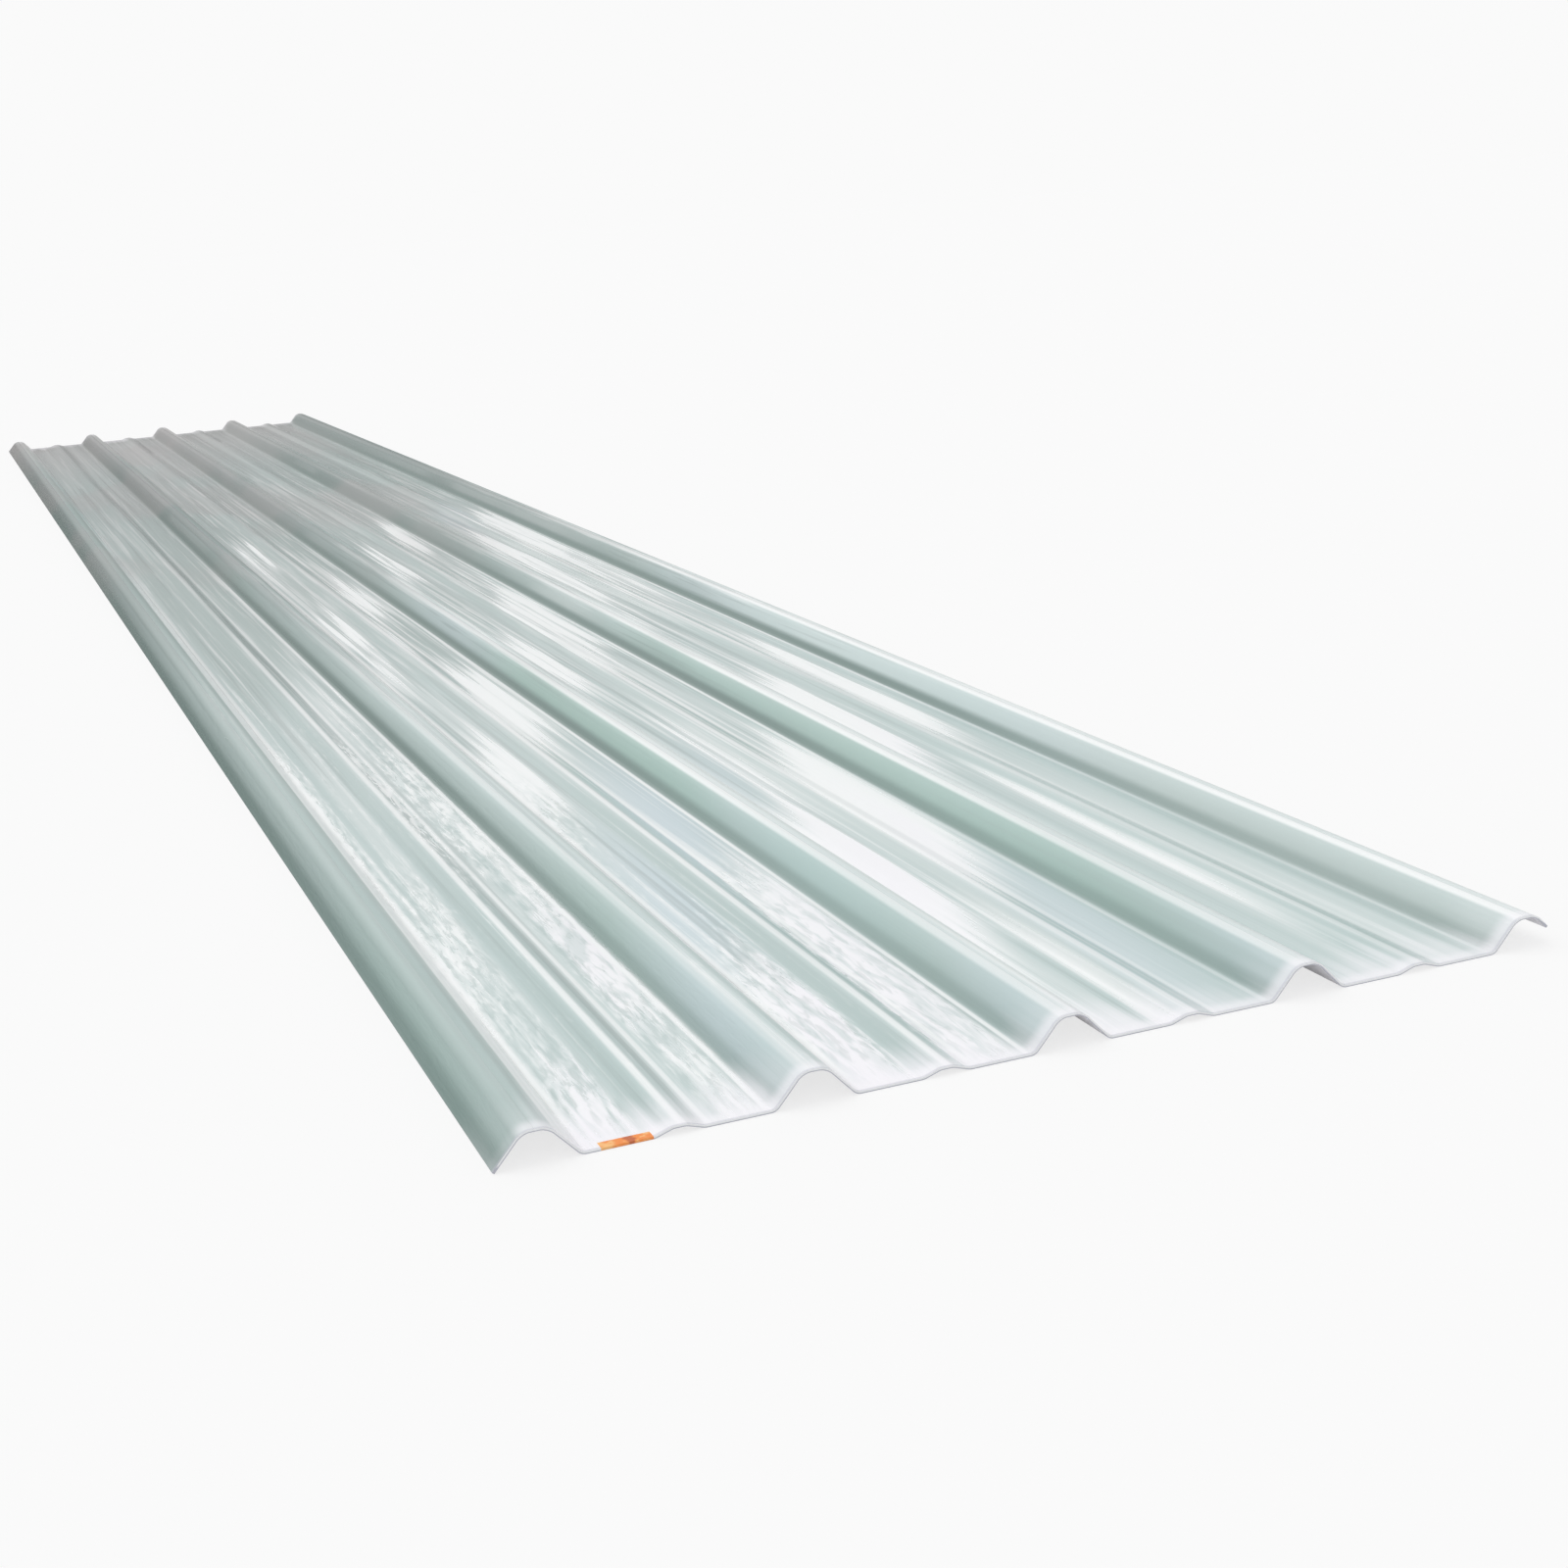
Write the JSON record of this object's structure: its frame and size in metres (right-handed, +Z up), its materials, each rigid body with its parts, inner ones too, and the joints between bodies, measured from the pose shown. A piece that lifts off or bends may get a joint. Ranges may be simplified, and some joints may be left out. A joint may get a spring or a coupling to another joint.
{
  "type": "corrugated fibreglass sheet",
  "caption": "Long translucent fibreglass roof sheet with round-topped ribs, flat pans with a low swage, a full lap leg and a short one.",
  "frame": {"origin": "middle of the sheet's width and length, on the plane under its pans", "axes": "+Y along the ribs, +X across them from the full leg towards the short leg, +Z up, towards the crests"},
  "size_m": [0.894, 5.8, 0.027],
  "materials": {
    "fibreglass": "glossy, translucent"
  },
  "bodies": {
    "root": {"roof_sheet": "fibreglass"}
  },
  "joints": []
}
